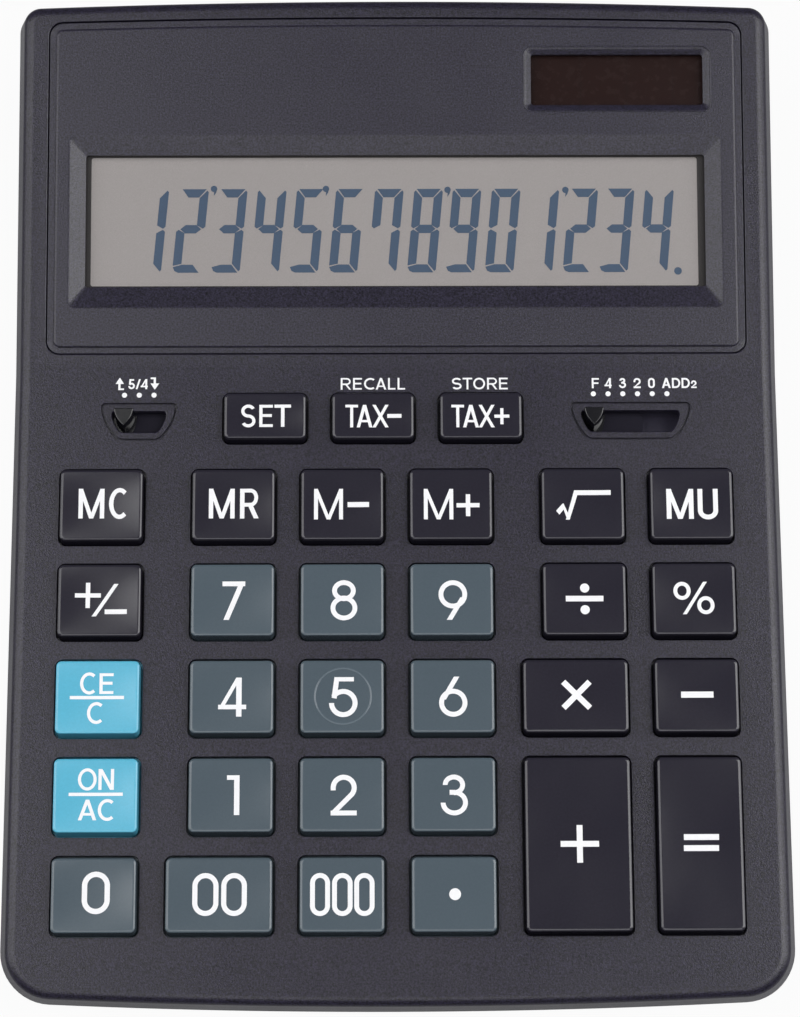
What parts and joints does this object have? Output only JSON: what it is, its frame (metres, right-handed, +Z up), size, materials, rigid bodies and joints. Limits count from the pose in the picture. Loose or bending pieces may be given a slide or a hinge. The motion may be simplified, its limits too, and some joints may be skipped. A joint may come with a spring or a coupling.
{
  "type": "desktop calculator",
  "caption": "Wedge-shaped desktop calculator with spring-returned keys, slide switches, an inset display under a clear window and a small solar cell.",
  "frame": {"origin": "centre of the bounding box in plan, at the level that the feet stand on", "axes": "+X to the user's right, +Y from the keys towards the display, +Z up"},
  "size_m": [0.155, 0.2044, 0.0339],
  "materials": {
    "charcoal_plastic": "fine satin grain",
    "black_key_plastic": "semi-gloss",
    "slate_key_plastic": "semi-gloss",
    "cyan_key_plastic": "semi-gloss",
    "knob_plastic": "semi-gloss",
    "clear_acrylic": "polished",
    "display_panel": "matt grey",
    "solar_cell": "dark",
    "circuit_board": "solder mask",
    "membrane_rubber": "matt",
    "foot_rubber": "matt",
    "epoxy_blob": "glossy",
    "screw_steel": "plated",
    "contact_nickel": "nickel plated",
    "ribbon_film": "film",
    "lead_sleeve": "satin"
  },
  "bodies": {
    "case": {"top_cover": "charcoal_plastic", "bottom_cover": "charcoal_plastic", "display_fascia": "charcoal_plastic", "battery_cover": "charcoal_plastic", "display_window": "clear_acrylic", "solar_window": "clear_acrylic", "lcd_panel": "display_panel", "solar_cell": "solar_cell", "main_pcb": "circuit_board", "controller_chip": "epoxy_blob", "key_membrane": "membrane_rubber", "lcd_ribbon": "ribbon_film", "solar_lead": "lead_sleeve", "button_cell": "contact_nickel", "battery_contact_positive": "contact_nickel", "battery_contact_negative": "contact_nickel", "battery_cover_screw": "screw_steel", "case_screw_front_left": "screw_steel", "case_screw_front_right": "screw_steel", "case_screw_middle_left": "screw_steel", "case_screw_middle_right": "screw_steel", "case_screw_rear_left": "screw_steel", "case_screw_rear_right": "screw_steel", "foot_front_left": "foot_rubber", "foot_front_right": "foot_rubber", "foot_back_left": "foot_rubber", "foot_back_right": "foot_rubber"},
    "key_set": {"key_set": "black_key_plastic"},
    "key_tax_minus": {"key_tax_minus": "black_key_plastic"},
    "key_tax_plus": {"key_tax_plus": "black_key_plastic"},
    "key_mc": {"key_mc": "black_key_plastic"},
    "key_mr": {"key_mr": "black_key_plastic"},
    "key_m_minus": {"key_m_minus": "black_key_plastic"},
    "key_m_plus": {"key_m_plus": "black_key_plastic"},
    "key_square_root": {"key_square_root": "black_key_plastic"},
    "key_mu": {"key_mu": "black_key_plastic"},
    "key_sign": {"key_sign": "black_key_plastic"},
    "key_7": {"key_7": "slate_key_plastic"},
    "key_8": {"key_8": "slate_key_plastic"},
    "key_9": {"key_9": "slate_key_plastic"},
    "key_divide": {"key_divide": "black_key_plastic"},
    "key_percent": {"key_percent": "black_key_plastic"},
    "key_ce_c": {"key_ce_c": "cyan_key_plastic"},
    "key_4": {"key_4": "slate_key_plastic"},
    "key_5": {"key_5": "slate_key_plastic"},
    "key_6": {"key_6": "slate_key_plastic"},
    "key_multiply": {"key_multiply": "black_key_plastic"},
    "key_minus": {"key_minus": "black_key_plastic"},
    "key_on_ac": {"key_on_ac": "cyan_key_plastic"},
    "key_1": {"key_1": "slate_key_plastic"},
    "key_2": {"key_2": "slate_key_plastic"},
    "key_3": {"key_3": "slate_key_plastic"},
    "key_plus": {"key_plus": "black_key_plastic"},
    "key_equals": {"key_equals": "black_key_plastic"},
    "key_0": {"key_0": "slate_key_plastic"},
    "key_00": {"key_00": "slate_key_plastic"},
    "key_000": {"key_000": "slate_key_plastic"},
    "key_point": {"key_point": "slate_key_plastic"},
    "rounding_switch_knob": {"rounding_switch_knob": "knob_plastic"},
    "decimal_switch_knob": {"decimal_switch_knob": "knob_plastic"}
  },
  "joints": [
    {"name": "key_set_press", "type": "slide", "parent": "case", "child": "key_set", "axis": [0, 0.061, -0.9981], "range_m": [0, 0.0016], "stiffness_N_per_m": 250, "springref_m": -0.0006, "deforming": ["key_membrane"]},
    {"name": "key_tax_minus_press", "type": "slide", "parent": "case", "child": "key_tax_minus", "axis": [0, 0.061, -0.9981], "range_m": [0, 0.0016], "stiffness_N_per_m": 250, "springref_m": -0.0006, "deforming": ["key_membrane"]},
    {"name": "key_tax_plus_press", "type": "slide", "parent": "case", "child": "key_tax_plus", "axis": [0, 0.061, -0.9981], "range_m": [0, 0.0016], "stiffness_N_per_m": 250, "springref_m": -0.0006, "deforming": ["key_membrane"]},
    {"name": "key_mc_press", "type": "slide", "parent": "case", "child": "key_mc", "axis": [0, 0.061, -0.9981], "range_m": [0, 0.0016], "stiffness_N_per_m": 250, "springref_m": -0.0006, "deforming": ["key_membrane"]},
    {"name": "key_mr_press", "type": "slide", "parent": "case", "child": "key_mr", "axis": [0, 0.061, -0.9981], "range_m": [0, 0.0016], "stiffness_N_per_m": 250, "springref_m": -0.0006, "deforming": ["key_membrane"]},
    {"name": "key_m_minus_press", "type": "slide", "parent": "case", "child": "key_m_minus", "axis": [0, 0.061, -0.9981], "range_m": [0, 0.0016], "stiffness_N_per_m": 250, "springref_m": -0.0006, "deforming": ["key_membrane"]},
    {"name": "key_m_plus_press", "type": "slide", "parent": "case", "child": "key_m_plus", "axis": [0, 0.061, -0.9981], "range_m": [0, 0.0016], "stiffness_N_per_m": 250, "springref_m": -0.0006, "deforming": ["key_membrane"]},
    {"name": "key_square_root_press", "type": "slide", "parent": "case", "child": "key_square_root", "axis": [0, 0.061, -0.9981], "range_m": [0, 0.0016], "stiffness_N_per_m": 250, "springref_m": -0.0006, "deforming": ["key_membrane"]},
    {"name": "key_mu_press", "type": "slide", "parent": "case", "child": "key_mu", "axis": [0, 0.061, -0.9981], "range_m": [0, 0.0016], "stiffness_N_per_m": 250, "springref_m": -0.0006, "deforming": ["key_membrane"]},
    {"name": "key_sign_press", "type": "slide", "parent": "case", "child": "key_sign", "axis": [0, 0.061, -0.9981], "range_m": [0, 0.0016], "stiffness_N_per_m": 250, "springref_m": -0.0006, "deforming": ["key_membrane"]},
    {"name": "key_7_press", "type": "slide", "parent": "case", "child": "key_7", "axis": [0, 0.061, -0.9981], "range_m": [0, 0.0016], "stiffness_N_per_m": 250, "springref_m": -0.0006, "deforming": ["key_membrane"]},
    {"name": "key_8_press", "type": "slide", "parent": "case", "child": "key_8", "axis": [0, 0.061, -0.9981], "range_m": [0, 0.0016], "stiffness_N_per_m": 250, "springref_m": -0.0006, "deforming": ["key_membrane"]},
    {"name": "key_9_press", "type": "slide", "parent": "case", "child": "key_9", "axis": [0, 0.061, -0.9981], "range_m": [0, 0.0016], "stiffness_N_per_m": 250, "springref_m": -0.0006, "deforming": ["key_membrane"]},
    {"name": "key_divide_press", "type": "slide", "parent": "case", "child": "key_divide", "axis": [0, 0.061, -0.9981], "range_m": [0, 0.0016], "stiffness_N_per_m": 250, "springref_m": -0.0006, "deforming": ["key_membrane"]},
    {"name": "key_percent_press", "type": "slide", "parent": "case", "child": "key_percent", "axis": [0, 0.061, -0.9981], "range_m": [0, 0.0016], "stiffness_N_per_m": 250, "springref_m": -0.0006, "deforming": ["key_membrane"]},
    {"name": "key_ce_c_press", "type": "slide", "parent": "case", "child": "key_ce_c", "axis": [0, 0.061, -0.9981], "range_m": [0, 0.0016], "stiffness_N_per_m": 250, "springref_m": -0.0006, "deforming": ["key_membrane"]},
    {"name": "key_4_press", "type": "slide", "parent": "case", "child": "key_4", "axis": [0, 0.061, -0.9981], "range_m": [0, 0.0016], "stiffness_N_per_m": 250, "springref_m": -0.0006, "deforming": ["key_membrane"]},
    {"name": "key_5_press", "type": "slide", "parent": "case", "child": "key_5", "axis": [0, 0.061, -0.9981], "range_m": [0, 0.0016], "stiffness_N_per_m": 250, "springref_m": -0.0006, "deforming": ["key_membrane"]},
    {"name": "key_6_press", "type": "slide", "parent": "case", "child": "key_6", "axis": [0, 0.061, -0.9981], "range_m": [0, 0.0016], "stiffness_N_per_m": 250, "springref_m": -0.0006, "deforming": ["key_membrane"]},
    {"name": "key_multiply_press", "type": "slide", "parent": "case", "child": "key_multiply", "axis": [0, 0.061, -0.9981], "range_m": [0, 0.0016], "stiffness_N_per_m": 250, "springref_m": -0.0006, "deforming": ["key_membrane"]},
    {"name": "key_minus_press", "type": "slide", "parent": "case", "child": "key_minus", "axis": [0, 0.061, -0.9981], "range_m": [0, 0.0016], "stiffness_N_per_m": 250, "springref_m": -0.0006, "deforming": ["key_membrane"]},
    {"name": "key_on_ac_press", "type": "slide", "parent": "case", "child": "key_on_ac", "axis": [0, 0.061, -0.9981], "range_m": [0, 0.0016], "stiffness_N_per_m": 250, "springref_m": -0.0006, "deforming": ["key_membrane"]},
    {"name": "key_1_press", "type": "slide", "parent": "case", "child": "key_1", "axis": [0, 0.061, -0.9981], "range_m": [0, 0.0016], "stiffness_N_per_m": 250, "springref_m": -0.0006, "deforming": ["key_membrane"]},
    {"name": "key_2_press", "type": "slide", "parent": "case", "child": "key_2", "axis": [0, 0.061, -0.9981], "range_m": [0, 0.0016], "stiffness_N_per_m": 250, "springref_m": -0.0006, "deforming": ["key_membrane"]},
    {"name": "key_3_press", "type": "slide", "parent": "case", "child": "key_3", "axis": [0, 0.061, -0.9981], "range_m": [0, 0.0016], "stiffness_N_per_m": 250, "springref_m": -0.0006, "deforming": ["key_membrane"]},
    {"name": "key_plus_press", "type": "slide", "parent": "case", "child": "key_plus", "axis": [0, 0.061, -0.9981], "range_m": [0, 0.0016], "stiffness_N_per_m": 250, "springref_m": -0.0006, "deforming": ["key_membrane"]},
    {"name": "key_equals_press", "type": "slide", "parent": "case", "child": "key_equals", "axis": [0, 0.061, -0.9981], "range_m": [0, 0.0016], "stiffness_N_per_m": 250, "springref_m": -0.0006, "deforming": ["key_membrane"]},
    {"name": "key_0_press", "type": "slide", "parent": "case", "child": "key_0", "axis": [0, 0.061, -0.9981], "range_m": [0, 0.0016], "stiffness_N_per_m": 250, "springref_m": -0.0006, "deforming": ["key_membrane"]},
    {"name": "key_00_press", "type": "slide", "parent": "case", "child": "key_00", "axis": [0, 0.061, -0.9981], "range_m": [0, 0.0016], "stiffness_N_per_m": 250, "springref_m": -0.0006, "deforming": ["key_membrane"]},
    {"name": "key_000_press", "type": "slide", "parent": "case", "child": "key_000", "axis": [0, 0.061, -0.9981], "range_m": [0, 0.0016], "stiffness_N_per_m": 250, "springref_m": -0.0006, "deforming": ["key_membrane"]},
    {"name": "key_point_press", "type": "slide", "parent": "case", "child": "key_point", "axis": [0, 0.061, -0.9981], "range_m": [0, 0.0016], "stiffness_N_per_m": 250, "springref_m": -0.0006, "deforming": ["key_membrane"]},
    {"name": "rounding_switch_slide", "type": "slide", "parent": "case", "child": "rounding_switch_knob", "axis": [1, 0, 0], "range_m": [0, 0.00594]},
    {"name": "decimal_switch_slide", "type": "slide", "parent": "case", "child": "decimal_switch_knob", "axis": [1, 0, 0], "range_m": [0, 0.01485]}
  ]
}
